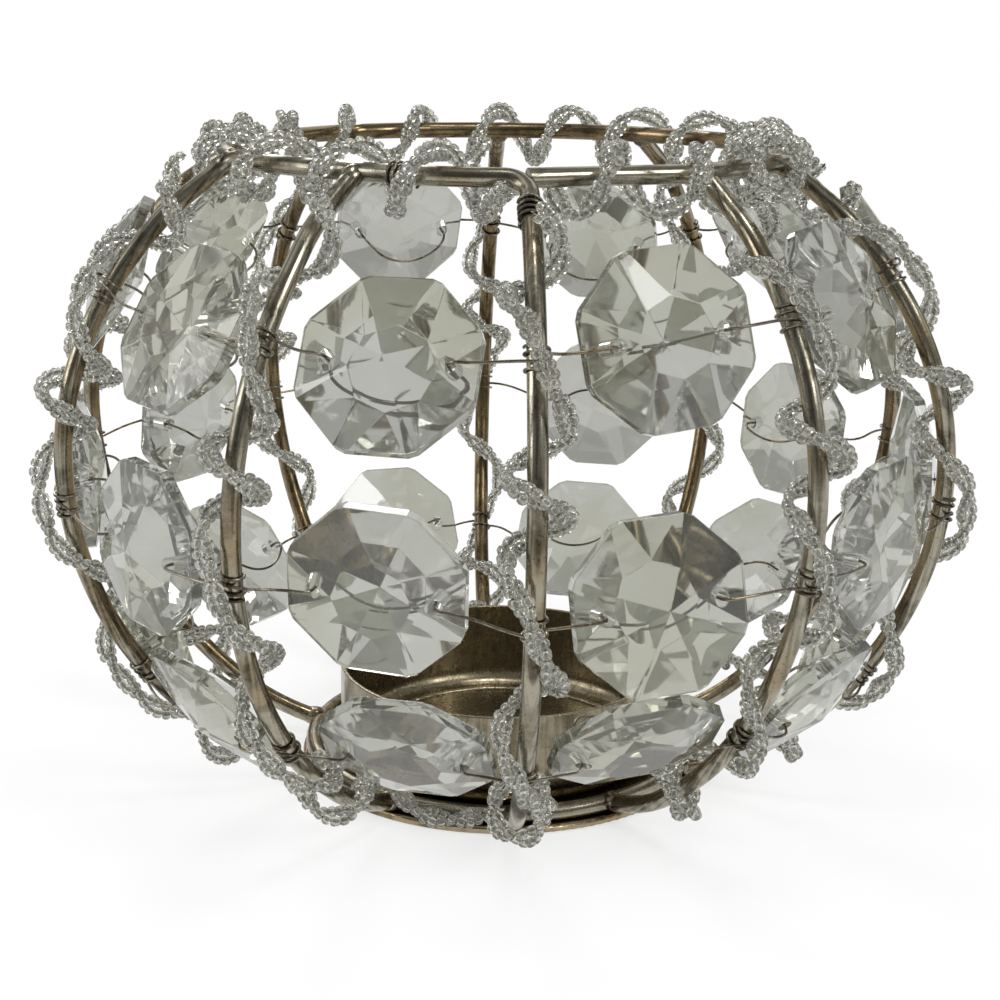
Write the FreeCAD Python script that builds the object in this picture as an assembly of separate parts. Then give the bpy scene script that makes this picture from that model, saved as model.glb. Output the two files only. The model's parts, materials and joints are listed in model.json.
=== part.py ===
import FreeCAD, Part
import math
import os

Vector = FreeCAD.Vector

# All lengths are in millimetres and all angles in degrees. +Z is up and the origin
# lies on the floor under the middle of the base. The front looks towards -Y.
# Ribs count from 0 at the front, anticlockwise seen from above, and are lettered
# from a in the same order.

# Rod frame
ROD_DIAMETER = 2.6
GLOBE_RADIUS = 68.0
WIDEST_HEIGHT = 54.0
UPPER_REACH = 53.8
LOWER_REACH = 59.3
MOUTH_RADIUS = 42.2
BEND_RADIUS = 3.4
WELD_GAP = 0.08
FOOT_SLOPE = 13.0
BAR_BOW_SHARE = 0.975
RIB_FOOT_ANGLES = (2.9, 32.5, 66.5, 108.0, 145.0, 184.5, 218.0, 259.3, 294.3, 328.3)
RIB_MOUTH_ANGLES = (3.4, 37.4, 65.4, 108.0, 147.5, 182.0, 219.5, 259.3, 294.3, 331.2)
SHOULDER_ANGLE_DROP = 8.14
RIB_TURN_SHARES = (-1.1494, -0.7356, -0.3218, 0.092, 0.4828, 0.7816)

# Ribs that each rod runs through, by letter: a bow is two ribs and the bar between
# their tops, a hook is a rib and one bar, a plain rib ends under a bar, and a bar
# alone closes the ring
RIB_LETTERS = "abcdefghij"
BOWS = {"bow_front_left": "ija", "bow_back": "defg"}
HOOKS = {"hook_rib_front_right": "ba", "hook_rib_right": "cd"}
PLAIN_RIBS = {"rib_front_left": "j", "rib_back_right": "e", "rib_back": "f", "rib_left": "h"}
BARS = {"top_bar_right": "bc", "top_bar_left": "ghi"}
MOUTH_RUNS = ("ab", "bc", "cd", "defg", "ghi", "ija")
RIB_HOSTS = {"rib_front_left": "bow_front_left", "rib_back_right": "bow_back",
             "rib_back": "bow_back", "rib_left": "top_bar_left",
             "hook_rib_front_right": "bow_front_left", "hook_rib_right": "bow_back"}

# Base and candle cup
PLATE_THICKNESS = 1.2
PLATE_OVERHANG = 0.5
PLATE_EDGE_RADIUS = 0.45
SEAT_GAP = 0.05
CUP_RADIUS = 25.8
CUP_HEIGHT = 14.6
CUP_WALL = 0.6
CUP_CORNER_RADIUS = 2.6
CUP_RIM_RADIUS = 0.2
FLOOR_BEAD_RADIUS = 21.6
FLOOR_BEAD_HEIGHT = 0.5
RING_CUP_GAP = 3.1

# Faceted crystals
CRYSTAL_WIDTH = 22.8
CRYSTAL_SIDES_COUNT = 8
CRYSTAL_EDGE = 1.7
CRYSTAL_CORNER_CUT = 1.5
POINT_HEIGHT = 3.7
STAR_RADIUS = 5.9
STAR_HEIGHT = 2.5
TABLE_RADIUS = 5.2
TABLE_HEIGHT = 3.0
HOLE_DIAMETER = 2.1
HOLE_OFFSET = 7.7

# Crystal wires
WIRE_DIAMETER = 0.4
WRAP_GAP = 0.05
WRAP_TURNS = 1.3
WRAP_PITCH = 0.9
WRAP_LIFT = 0.55
MOUTH_STAND_OFF = 2.9
MOUTH_LEAD = 1.3
HOLE_ENTRY = 1.5
HOLE_EXIT = 2.3
LOOP_DEPTH = 5.3
LOOP_SAG = 4.6

# Lashings of the same wire
LASHING_TURNS = 4
LASHING_PITCH = 0.95
LASHING_BAR_SHARE = 0.68
LASHING_RIB_DROP = 6.0

# Bead garlands
GARLAND_DIAMETER = 3.0
GARLAND_RADIUS = 3.55
GARLAND_FOOT_REACH = 12.5
GARLAND_MOUTH_GAP = 9.5
GARLAND_ROW_CLEARANCE = 8.8
MOUTH_GARLAND_TOP = 3.25
MOUTH_GARLAND_BOTTOM = 4.7
BASE_GARLAND_RADIUS = 33.4
BASE_GARLAND_LOW = 2.9
BASE_GARLAND_HIGH = 7.0
GARLAND_OUTSIDE = (True, True, True, True, False, True, True, True, True, True)
GARLAND_ROW_TURNS = {"low": 0, "mid": 1, "top": 3}
GARLAND_FOOT_TURNS = 1.5
GARLAND_ROW_ANGLE = 27.0
GARLAND_TOP_TURNS = 1.0
MOUTH_GARLAND_TURNS = (2, 2, 3, 2, 2, 2, 2, 2, 2, 2)
GARLAND_STEP_ANGLE = 60.0
BASE_GARLAND_LEFT_SHARES = ((0.16, 0.35), (0.4, 0.0), (0.68, 0.05))
BASE_GARLAND_RIGHT_SHARES = ((0.0, 1.0), (0.32, 0.05), (0.6, 0.0), (0.84, 0.3))

# Heights of the wire rows on each rib, as shares of the mouth height
ROW_NAMES = ("top", "mid", "low")
ROW_HEIGHT_SHARES = {
    "top": (0.795, 0.826, 0.850, 0.832, 0.811, 0.806, 0.811, 0.816, 0.814, 0.798),
    "mid": (0.463, 0.491, 0.512, 0.504, 0.494, 0.489, 0.494, 0.499, 0.506, 0.486),
    "low": (0.215, 0.242, 0.239, 0.234, 0.229, 0.229, 0.234, 0.237, 0.234, 0.214),
}

# How far each crystal's outer face looks up from level, and which end faces out
CRYSTAL_LOOK_ANGLES = {
    "top": (15.0, 27.0, 22.0, 31.0, 25.0, 19.0, 29.0, 24.0, 30.0, 32.0),
    "mid": (8.0, -4.0, 3.0, -7.0, 2.0, -3.0, 5.0, -6.0, -1.0, -11.0),
    "low": (-44.0, -37.0, -29.0, -35.0, -40.0, -33.0, -38.0, -30.0, -36.0, -39.0),
}
TABLE_FACES_OUT = {
    "top": (True, False, True, False, False, True, False, True, True, False),
    "mid": (False, True, False, True, True, False, True, False, False, True),
    "low": (True, False, False, True, False, True, False, True, False, True),
}
# How far each crystal hangs off the middle of its bay, along its wire and upward,
# as shares of the crystal's width
CRYSTAL_SIDE_SHARES = {
    "top": (0.0, 0.0, 0.0, 0.0, -0.045, -0.06, 0.0, 0.0, 0.035, -0.045),
    "mid": (-0.09, 0.0, 0.0, 0.0, -0.045, 0.0, 0.0, 0.0, 0.035, -0.02),
    "low": (0.0, 0.0, 0.0, 0.0, 0.0, 0.0, 0.0, 0.0, 0.04, 0.025),
}
CRYSTAL_LIFT_SHARES = {
    "top": (0.0, -0.06, 0.0, 0.0, -0.11, 0.0, 0.0, 0.0, -0.07, -0.08),
    "mid": (0.0, 0.0, 0.0, -0.14, -0.15, 0.0, 0.0, 0.0, -0.02, 0.085),
    "low": (0.075, 0.0, 0.0, 0.0, -0.08, 0.0, 0.0, 0.0, -0.03, 0.075),
}
# How far each wire loop sags behind its crystal, as a share of LOOP_SAG
LOOP_SAG_SHARES = {
    "top": (0.1, 0.7, 1.0, 0.5, 1.0, 0.9, 1.0, 0.6, 0.8, 0.6),
    "mid": (0.6, -0.7, 0.8, 0.4, -0.9, 1.0, 0.7, 0.9, 0.5, 0.8),
    "low": (0.7, 0.5, 0.9, 0.6, 0.8, 0.4, 0.9, 0.7, 0.6, 0.8),
}

# Sizes that follow from the ones above
ROD_RADIUS = ROD_DIAMETER / 2
WIRE_RADIUS = WIRE_DIAMETER / 2
HOLE_RADIUS = HOLE_DIAMETER / 2
RIBS = len(RIB_FOOT_ANGLES)
SIDE_ANGLE = 360 / CRYSTAL_SIDES_COUNT
BASE_RING_RADIUS = CUP_RADIUS + RING_CUP_GAP + ROD_RADIUS
RING_HEIGHT = PLATE_THICKNESS + SEAT_GAP + ROD_RADIUS
MOUTH_RISE = UPPER_REACH * math.sqrt(1 - (MOUTH_RADIUS / GLOBE_RADIUS) ** 2)
MOUTH_HEIGHT = WIDEST_HEIGHT + MOUTH_RISE
SHOULDER_ANGLE = math.degrees(math.acos(MOUTH_RADIUS / GLOBE_RADIUS)) - SHOULDER_ANGLE_DROP
CUP_FLOOR = PLATE_THICKNESS + SEAT_GAP
WRAP_RADIUS = ROD_RADIUS + WRAP_GAP + WIRE_RADIUS
UP = Vector(0, 0, 1)


def unit(v):
    """The vector's direction."""
    return Vector(v) * (1 / v.Length)


def around(radius, angle, height):
    """The point at a radius and an angle from the front, at a height."""
    turn = math.radians(angle)
    return Vector(radius * math.sin(turn), -radius * math.cos(turn), height)


def arc_from(start, heading, end):
    """The arc that leaves start along heading and reaches end."""
    chord = end - start
    along = unit(chord)
    side = heading - along * heading.dot(along)
    if side.Length < 1e-6:
        return Part.LineSegment(start, end).toShape()
    half = math.acos(max(-1.0, min(1.0, heading.dot(along))))
    middle = (start + end) * 0.5 + unit(side) * (chord.Length / 2 * math.tan(half / 2))
    return Part.Arc(start, middle, end).toShape()


def biarc(start, heading, end, landing):
    """Two tangent arcs from start to end, with the given end directions."""
    gap = end - start
    total = heading + landing
    slack = 2 * (1 - heading.dot(landing))
    push = gap.dot(total)
    if slack < 1e-9:
        reach = gap.dot(gap) / (2 * push)
    else:
        reach = (math.sqrt(push * push + slack * gap.dot(gap)) - push) / slack
    first_pull = start + heading * reach
    second_pull = end - landing * reach
    meet = (first_pull + second_pull) * 0.5
    through = unit(second_pull - first_pull)
    return [arc_from(start, heading, meet), arc_from(meet, through, end)]


def path_edges(stations):
    """The smooth path through stations, each a point and a direction."""
    edges = []
    for (start, heading), (end, landing) in zip(stations, stations[1:]):
        edges += biarc(start, heading, end, landing)
    return edges


def tube(stations, radius):
    """A round rod, wire or garland along the smooth path through stations."""
    path = Part.Wire(path_edges(stations))
    start, heading = stations[0]
    section = Part.Wire([Part.Circle(start, heading, radius).toShape()])
    sweep = Part.BRepOffsetAPI.MakePipeShell(path)
    sweep.add(section)
    sweep.build()
    sweep.makeSolid()
    return sweep.shape()


class Course:
    """A chain of edges that can be asked for a point and a direction by length."""

    def __init__(self, edges):
        self.edges = edges
        self.starts = [0.0]
        for edge in edges:
            self.starts.append(self.starts[-1] + edge.Length)
        self.length = self.starts[-1]

    def at(self, length):
        """Point and direction at a length from the start."""
        length = min(max(length, 0.0), self.length)
        pick = 0
        while pick < len(self.edges) - 1 and length > self.starts[pick + 1]:
            pick += 1
        edge = self.edges[pick]
        mark = edge.getParameterByLength(min(length - self.starts[pick], edge.Length))
        return edge.valueAt(mark), unit(edge.tangentAt(mark))

    def length_at_height(self, height):
        """Length from the start at which the course reaches a height."""
        low, high = 0.0, self.length
        while high - low > WELD_GAP / 10:
            middle = (low + high) / 2
            if self.at(middle)[0].z < height:
                low = middle
            else:
                high = middle
        return (low + high) / 2


def rib_angle(rib, height):
    """A rib's angle from the front at a height: it leans a little."""
    share = (height - RING_HEIGHT) / (MOUTH_HEIGHT - RING_HEIGHT)
    foot = RIB_FOOT_ANGLES[rib]
    return foot + (RIB_MOUTH_ANGLES[rib] - foot) * share


def globe_point(rib, turn):
    """A rib's centre on the globe, an ellipse that is deeper below its widest."""
    swing = math.radians(turn)
    reach = UPPER_REACH if turn > 0 else LOWER_REACH
    height = WIDEST_HEIGHT + reach * math.sin(swing)
    return around(GLOBE_RADIUS * math.cos(swing), rib_angle(rib, height), height)


def globe_station(rib, turn):
    """Point and direction of a rib on the globe."""
    heading = globe_point(rib, turn + 0.5) - globe_point(rib, turn - 0.5)
    return globe_point(rib, turn), unit(heading)


def ribs_of(run):
    """The numbers of the ribs in a rod's run."""
    return [RIB_LETTERS.index(letter) for letter in run]


BUTTED = [ribs_of(run)[0] for run in PLAIN_RIBS.values()]


def mouth_point(rib):
    """Where a rib meets the mouth ring: between corners a bar bows in a little."""
    share = BAR_BOW_SHARE if rib in BUTTED else 1.0
    return around(MOUTH_RADIUS * share, RIB_MOUTH_ANGLES[rib], MOUTH_HEIGHT)


def bar_stations(ribs):
    """Stations of a bar from one rib's top to another's, through those between."""
    points = [mouth_point(rib) for rib in ribs]
    inner = [unit(b - a) for a, b in zip(points, points[2:])]
    if not inner:
        straight = unit(points[1] - points[0])
        return [(points[0], straight), (points[1], straight)]
    chord = unit(points[1] - points[0])
    leave = unit(chord * (2 * chord.dot(inner[0])) - inner[0])
    chord = unit(points[-1] - points[-2])
    arrive = unit(chord * (2 * chord.dot(inner[-1])) - inner[-1])
    return list(zip(points, [leave, *inner, arrive]))


def rib_stations(rib):
    """Stations of a rib from the base ring's centre to its shoulder."""
    angle = RIB_FOOT_ANGLES[rib]
    foot = around(BASE_RING_RADIUS, angle, RING_HEIGHT)
    outward = around(1, angle, math.tan(math.radians(FOOT_SLOPE)))
    stations = [(foot, unit(outward))]
    stations += [globe_station(rib, SHOULDER_ANGLE * share) for share in RIB_TURN_SHARES]
    shoulder = globe_point(rib, SHOULDER_ANGLE)
    stations.append((shoulder, unit(mouth_point(rib) - shoulder)))
    return stations


def backwards(stations):
    """The same path walked from its other end."""
    return [(point, heading * -1) for point, heading in reversed(stations)]


def corner(point, heading, leaving):
    """Stations of the bend that turns a rod at a corner point."""
    turn = math.acos(max(-1.0, min(1.0, heading.dot(leaving))))
    reach = BEND_RADIUS * math.tan(turn / 2)
    return [(point - heading * reach, heading), (point + leaving * reach, leaving)]


def rib_to_mouth(rib):
    """A rib's whole course, from the base ring's centre to the mouth ring."""
    stations = rib_stations(rib)
    return stations + [(mouth_point(rib), stations[-1][1])]


def hook_path(ribs):
    """Up a rib, round its corner and along the bar to another rib's top."""
    rise = rib_stations(ribs[0])
    bar = bar_stations(ribs)
    return rise + corner(mouth_point(ribs[0]), rise[-1][1], bar[0][1]) + bar[1:]


def bow_path(ribs):
    """Up one rib, along the bar and down another rib."""
    rise = rib_stations(ribs[0])
    fall = backwards(rib_stations(ribs[-1]))
    bar = bar_stations(ribs)
    path = rise + corner(mouth_point(ribs[0]), rise[-1][1], bar[0][1]) + bar[1:-1]
    return path + corner(mouth_point(ribs[-1]), bar[-1][1], fall[0][1]) + fall


def ring_tool(grow):
    """The base ring's rod, thicker by grow."""
    ring = Part.makeTorus(BASE_RING_RADIUS, ROD_RADIUS + grow)
    ring.translate(Vector(0, 0, RING_HEIGHT))
    return ring


def frame_paths():
    """Each rod of the frame with its path and the rods it is fitted against."""
    paths = {}
    for name, run in BOWS.items():
        paths[name] = (bow_path(ribs_of(run)), ())
    for name, run in HOOKS.items():
        paths[name] = (hook_path(ribs_of(run)), (RIB_HOSTS[name],))
    for name, run in PLAIN_RIBS.items():
        paths[name] = (rib_to_mouth(ribs_of(run)[0]), (RIB_HOSTS[name],))
    ends = {"top_bar_right": tuple(HOOKS), "top_bar_left": tuple(BOWS)}
    for name, run in BARS.items():
        paths[name] = (bar_stations(ribs_of(run)), ends[name])
    return paths


def largest(shape):
    """The largest solid of a shape: a fitted end leaves only chips besides."""
    return max(shape.Solids, key=lambda solid: solid.Volume)


def make_frame():
    """The ten rods, each end cut to the round of the rod it is welded to."""
    paths = frame_paths()
    rods = {}
    for name, (stations, against) in paths.items():
        rod = tube(stations, ROD_RADIUS)
        if name not in BARS:
            rod = largest(rod.cut(ring_tool(WELD_GAP)))
        for host in against:
            rod = largest(rod.cut(tube(paths[host][0], ROD_RADIUS + WELD_GAP)))
        rods[name] = rod
    return rods


def make_base_ring():
    """The ring of rod that all the ribs' feet are welded to."""
    return ring_tool(0)


def make_base_plate():
    """The flat disc under the ring and the cup, with its edge rounded."""
    radius = BASE_RING_RADIUS + ROD_RADIUS + PLATE_OVERHANG
    disc = Part.makeCylinder(radius, PLATE_THICKNESS)
    rims = [edge for edge in disc.Edges if len(edge.Vertexes) == 1]
    return disc.makeFillet(PLATE_EDGE_RADIUS, [e for e in rims if e.Closed])


def make_cup():
    """The spun candle cup: rounded corner, raised ring in its floor, eased rim."""
    inner_floor = CUP_FLOOR + CUP_WALL
    inner_radius = CUP_RADIUS - CUP_WALL
    outer = Part.makeCylinder(CUP_RADIUS, CUP_HEIGHT, Vector(0, 0, CUP_FLOOR))
    foot = [e for e in outer.Edges if e.Closed and e.CenterOfMass.z < CUP_HEIGHT / 2]
    outer = outer.makeFillet(CUP_CORNER_RADIUS + CUP_WALL, foot)
    inner = Part.makeCylinder(inner_radius, CUP_HEIGHT, Vector(0, 0, inner_floor))
    foot = [e for e in inner.Edges if e.Closed and e.CenterOfMass.z < CUP_HEIGHT / 2]
    cup = outer.cut(inner.makeFillet(CUP_CORNER_RADIUS, foot))
    top = CUP_FLOOR + CUP_HEIGHT - CUP_WALL / 2
    rims = [e for e in cup.Edges if e.Closed and e.CenterOfMass.z > top]
    cup = cup.makeFillet(CUP_RIM_RADIUS, rims)
    bead = Part.makeTorus(FLOOR_BEAD_RADIUS, FLOOR_BEAD_HEIGHT)
    bead.translate(Vector(0, 0, inner_floor))
    below = Part.makeCylinder(CUP_RADIUS, CUP_HEIGHT, Vector(0, 0, CUP_FLOOR - CUP_HEIGHT))
    return largest(cup.fuse(bead.cut(below)).removeSplitter())


def octagon(radius, height, offset):
    """The corners of an octagon at a height, turned by offset from the hole line."""
    points = []
    for side in range(CRYSTAL_SIDES_COUNT):
        turn = math.radians(side * SIDE_ANGLE + offset)
        points.append(Vector(radius * math.cos(turn), radius * math.sin(turn), height))
    return points


def girdle(height):
    """The stone's outline at a height: an octagon with its corners cut."""
    apothem = CRYSTAL_WIDTH / 2
    half = apothem * math.tan(math.radians(SIDE_ANGLE / 2)) - CRYSTAL_CORNER_CUT / 2
    points = []
    for side in range(CRYSTAL_SIDES_COUNT):
        turn = FreeCAD.Rotation(UP, side * SIDE_ANGLE)
        points.append(turn.multVec(Vector(apothem, -half, height)))
        points.append(turn.multVec(Vector(apothem, half, height)))
    return points


def face(*points):
    """A flat face through the points."""
    return Part.Face(Part.makePolygon([*points, points[0]]))


def make_stone():
    """One crystal: table side up, pointed side down, holes along its thickness.

    The table is an octagon whose sides face the outline's corners. Below, eight
    facets meet in a point, and a second row of facets runs out to the edge.
    """
    high = girdle(CRYSTAL_EDGE / 2)
    low = girdle(-CRYSTAL_EDGE / 2)
    table = octagon(TABLE_RADIUS, TABLE_HEIGHT, 0)
    star = octagon(STAR_RADIUS, -STAR_HEIGHT, SIDE_ANGLE / 2)
    point = Vector(0, 0, -POINT_HEIGHT)
    faces = [face(*table)]
    for side in range(CRYSTAL_SIDES_COUNT):
        after = (side + 1) % CRYSTAL_SIDES_COUNT
        a, b, c = 2 * side, 2 * side + 1, 2 * after
        faces.append(face(table[side], high[a], high[b]))
        faces.append(face(table[side], high[b], high[c], table[after]))
        faces.append(face(high[a], low[a], low[b], high[b]))
        faces.append(face(high[b], low[b], low[c], high[c]))
        faces.append(face(star[side - 1], star[side], low[b], low[a]))
        faces.append(face(star[side], low[c], low[b]))
        faces.append(face(star[side - 1], point, star[side]))
    stone = Part.makeSolid(Part.makeShell(faces))
    if stone.Volume < 0:
        stone.reverse()
    for side in (-HOLE_OFFSET, HOLE_OFFSET):
        start = Vector(side, 0, -CRYSTAL_WIDTH / 2)
        stone = stone.cut(Part.makeCylinder(HOLE_RADIUS, CRYSTAL_WIDTH, start))
    return stone


RIB_COURSES = {}


def rib_course(rib):
    """A rib's course, worked out once."""
    if rib not in RIB_COURSES:
        RIB_COURSES[rib] = Course(path_edges(rib_to_mouth(rib)))
    return RIB_COURSES[rib]


def rib_frame(rib, length):
    """Centre, direction, outward and sideways directions of a rib at a length."""
    centre, along = rib_course(rib).at(length)
    radial = unit(Vector(centre.x, centre.y, 0))
    outward = unit(radial - along * radial.dot(along))
    return centre, along, outward, along.cross(outward)


def row_length(row, rib):
    """How far up a rib a wire row crosses it."""
    return rib_course(rib).length_at_height(ROW_HEIGHT_SHARES[row][rib] * MOUTH_HEIGHT)


def crystal_frame(row, bay):
    """Centre, hole line, up and outward directions of the crystal in a bay."""
    left = rib_frame(bay, row_length(row, bay))[0]
    right = rib_frame((bay + 1) % RIBS, row_length(row, (bay + 1) % RIBS))[0]
    line = unit(right - left)
    side, lift = CRYSTAL_SIDE_SHARES[row][bay], CRYSTAL_LIFT_SHARES[row][bay]
    centre = (left + right) * 0.5 + (line * side + UP * lift) * CRYSTAL_WIDTH
    level = unit(line.cross(UP))
    tilt = FreeCAD.Rotation(line, -CRYSTAL_LOOK_ANGLES[row][bay])
    outward = tilt.multVec(level)
    if outward.dot(Vector(centre.x, centre.y, 0)) < 0:
        outward = outward * -1
    return centre, line, unit(outward.cross(line)), outward


def make_crystal(row, bay, stone):
    """A crystal in its bay, with its table or its point outward."""
    centre, line, upward, outward = crystal_frame(row, bay)
    if not TABLE_FACES_OUT[row][bay]:
        upward = upward * -1
        outward = outward * -1
    crystal = stone.copy()
    crystal.Placement = FreeCAD.Placement(centre, FreeCAD.Rotation(line, upward, outward, "ZXY"))
    return crystal


def wrap_stations(rib, length, line, leaving):
    """Turns of wire round a rib, to where the wire leaves or meets it along line."""
    centre, along, outward, sideways = rib_frame(rib, length)
    meet = math.degrees(math.atan2(-line.dot(outward), line.dot(sideways)))
    sign = 1 if leaving else -1
    steps = int(WRAP_TURNS * 6)
    stations = []
    for step in range(steps, -1, -1):
        swing = WRAP_TURNS * 360 * step / steps
        turn = math.radians(meet - sign * swing)
        lift = sign * (WRAP_LIFT + WRAP_PITCH * swing / 360)
        spoke = outward * math.cos(turn) + sideways * math.sin(turn)
        run = sideways * math.cos(turn) - outward * math.sin(turn)
        point = centre + spoke * WRAP_RADIUS + along * lift
        climb = along * (-WRAP_PITCH / (2 * math.pi * WRAP_RADIUS))
        stations.append((point, unit(run + climb)))
    return stations if leaving else stations[::-1]


def bay_wire_stations(row, bay):
    """One bay's wire: round a rib, through the crystal and back, round the next rib."""
    after = (bay + 1) % RIBS
    centre, line, upward, outward = crystal_frame(row, bay)

    def spot(along, out, up=0.0):
        return centre + line * along + outward * out + upward * up

    sag = -LOOP_SAG * LOOP_SAG_SHARES[row][bay]
    stations = wrap_stations(bay, row_length(row, bay), line, True)
    stations.append((spot(-HOLE_OFFSET - MOUTH_LEAD, MOUTH_STAND_OFF), line))
    stations.append((spot(-HOLE_OFFSET, HOLE_ENTRY), outward * -1))
    stations.append((spot(-HOLE_OFFSET, -HOLE_EXIT), outward * -1))
    stations.append((spot(0, -LOOP_DEPTH, sag), line))
    stations.append((spot(HOLE_OFFSET, -HOLE_EXIT), outward))
    stations.append((spot(HOLE_OFFSET, HOLE_ENTRY), outward))
    stations.append((spot(HOLE_OFFSET + MOUTH_LEAD, MOUTH_STAND_OFF), line))
    stations += wrap_stations(after, row_length(row, after), line, False)
    return stations


def self_gap(stations, radius, apart):
    """Least gap between stretches of a tube that are more than apart along it."""
    course = Course(path_edges(stations))
    count = int(course.length / radius / 2)
    marks = [course.length * step / count for step in range(count + 1)]
    points = [course.at(mark)[0] for mark in marks]
    least = course.length
    for i, mark in enumerate(marks):
        for j in range(i + 1, len(marks)):
            if marks[j] - mark > apart:
                least = min(least, points[i].distanceToPoint(points[j]) - 2 * radius)
    return least


def lashing_stations(course, length):
    """A few turns of wire round a rod, about a length along its course."""
    steps = LASHING_TURNS * 6
    stations = []
    for step in range(steps + 1):
        turns = LASHING_TURNS * step / steps
        centre, along = course.at(length + LASHING_PITCH * (turns - LASHING_TURNS / 2))
        radial = unit(Vector(centre.x, centre.y, 0))
        side = unit(along.cross(radial))
        lift = side.cross(along)
        turn = 2 * math.pi * turns
        spoke = side * math.cos(turn) + lift * math.sin(turn)
        run = lift * math.cos(turn) - side * math.sin(turn)
        climb = along * (LASHING_PITCH / (2 * math.pi * WRAP_RADIUS))
        stations.append((centre + spoke * WRAP_RADIUS, unit(run + climb)))
    return stations


def make_lashings():
    """Two bindings on the front bow: on its bar, and under its corner on the rib."""
    ribs = ribs_of(BOWS["bow_front_left"])
    bow = Course(path_edges(bow_path(ribs)))
    start = nearest_length(bow, mouth_point(ribs[0]))
    end = nearest_length(bow, mouth_point(ribs[-1]))
    places = (start + (end - start) * LASHING_BAR_SHARE, end + LASHING_RIB_DROP)
    return [winding(lashing_stations(bow, place), WIRE_RADIUS, "lashing") for place in places]


def between(knots, value):
    """Straight-line reading of a table of pairs."""
    for (low, first), (high, last) in zip(knots, knots[1:]):
        if value <= high:
            return first + (last - first) * (value - low) / (high - low)
    return knots[-1][1]


def garland_knots(rib):
    """Turn of a rib's garland at lengths up the rib: clear of crystals at each row."""
    start = 0 if GARLAND_OUTSIDE[rib] else 180
    below = start - 360 * GARLAND_FOOT_TURNS
    knots = [(GARLAND_FOOT_REACH, below if GARLAND_OUTSIDE[rib] else below + 180)]
    half = GARLAND_ROW_CLEARANCE / 2
    for row in reversed(ROW_NAMES):
        length = row_length(row, rib)
        turn = start + 360 * GARLAND_ROW_TURNS[row]
        knots += [(length - 2 * half, turn - 90), (length - half, turn - GARLAND_ROW_ANGLE),
                  (length, turn), (length + half, turn + GARLAND_ROW_ANGLE),
                  (length + 2 * half, turn + 90)]
    end = rib_course(rib).length - GARLAND_MOUTH_GAP
    return knots + [(end, turn + 360 * GARLAND_TOP_TURNS)]


def sampled_stations(place, first, last, steps):
    """Stations of a path given by a function, at even steps of its value."""
    stations = []
    nudge = (last - first) / steps / 50
    for step in range(steps + 1):
        value = first + (last - first) * step / steps
        heading = place(value + nudge) - place(value - nudge)
        stations.append((place(value), unit(heading)))
    return stations


def rib_garland_stations(rib):
    """A garland wound up a rib."""
    knots = garland_knots(rib)
    by_turn = [(turn, length) for length, turn in knots]

    def place(turn):
        centre, along, outward, sideways = rib_frame(rib, between(by_turn, turn))
        swing = math.radians(turn)
        return centre + (outward * math.cos(swing) - sideways * math.sin(swing)) * GARLAND_RADIUS

    first, last = by_turn[0][0], by_turn[-1][0]
    return sampled_stations(place, first, last, int((last - first) / GARLAND_STEP_ANGLE))


def mouth_course():
    """The mouth ring's centreline, from the front rib all the way round."""
    edges = []
    for run in MOUTH_RUNS:
        edges += path_edges(bar_stations(ribs_of(run)))
    return Course(edges)


def mouth_garland_stations():
    """The garland wound round the mouth ring: over the bar at every rib."""
    course = mouth_course()
    marks = []
    for rib in range(RIBS):
        marks.append(nearest_length(course, mouth_point(rib)))
    marks.append(course.length)
    knots = [(90, 0)]
    for rib in range(RIBS):
        turns = knots[-1][0] + 360 * MOUTH_GARLAND_TURNS[rib]
        knots.append((turns, marks[rib + 1]))

    def place(turn):
        centre = course.at(between(knots, turn))[0]
        radial = unit(Vector(centre.x, centre.y, 0))
        swing = math.radians(turn)
        middle = (MOUTH_GARLAND_TOP + MOUTH_GARLAND_BOTTOM) / 2
        radius = middle + (MOUTH_GARLAND_TOP - middle) * math.sin(swing)
        return centre + (radial * math.cos(swing) + UP * math.sin(swing)) * radius

    first = knots[0][0] + 90
    last = knots[-1][0] - 90
    return sampled_stations(place, first, last, int((last - first) / GARLAND_STEP_ANGLE))


def nearest_length(course, point):
    """Length at which a course passes nearest to a point."""
    steps = int(course.length / ROD_RADIUS) * 4
    marks = [course.length * step / steps for step in range(steps)]
    return min(marks, key=lambda mark: course.at(mark)[0].distanceToPoint(point))


def base_garland_stations():
    """The strand that lies outside the base ring at the front left, over one foot."""
    left, middle, right = RIB_FOOT_ANGLES[8], RIB_FOOT_ANGLES[9], 360 + RIB_FOOT_ANGLES[0]
    rise = BASE_GARLAND_HIGH - BASE_GARLAND_LOW
    points = []
    for start, end, shares in ((left, middle, BASE_GARLAND_LEFT_SHARES),
                               (middle, right, BASE_GARLAND_RIGHT_SHARES)):
        for share, lift in shares:
            angle = start + (end - start) * share
            points.append(around(BASE_GARLAND_RADIUS, angle, BASE_GARLAND_LOW + rise * lift))
    ends = [points[1] - points[0]]
    ends += [b - a for a, b in zip(points, points[2:])]
    ends.append(points[-1] - points[-2])
    return [(point, unit(heading)) for point, heading in zip(points, ends)]


def tell(name, shape):
    """Print what a node came out as."""
    box = shape.BoundBox
    print(name, len(shape.Solids), "solids, volume", round(shape.Volume, 2),
          "z", round(box.ZMin, 2), "to", round(box.ZMax, 2), "valid", shape.isValid())


def winding(stations, radius, name):
    """A wound tube, with its least gap to itself and its volume check printed."""
    solid = tube(stations, radius)
    length = sum(edge.Length for edge in path_edges(stations))
    share = solid.Volume / (math.pi * radius ** 2 * length)
    gap = self_gap(stations, radius, 2 * math.pi * radius)
    print(name, "length", round(length, 1), "volume share", round(share, 4),
          "least gap", round(gap, 2))
    return solid


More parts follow.
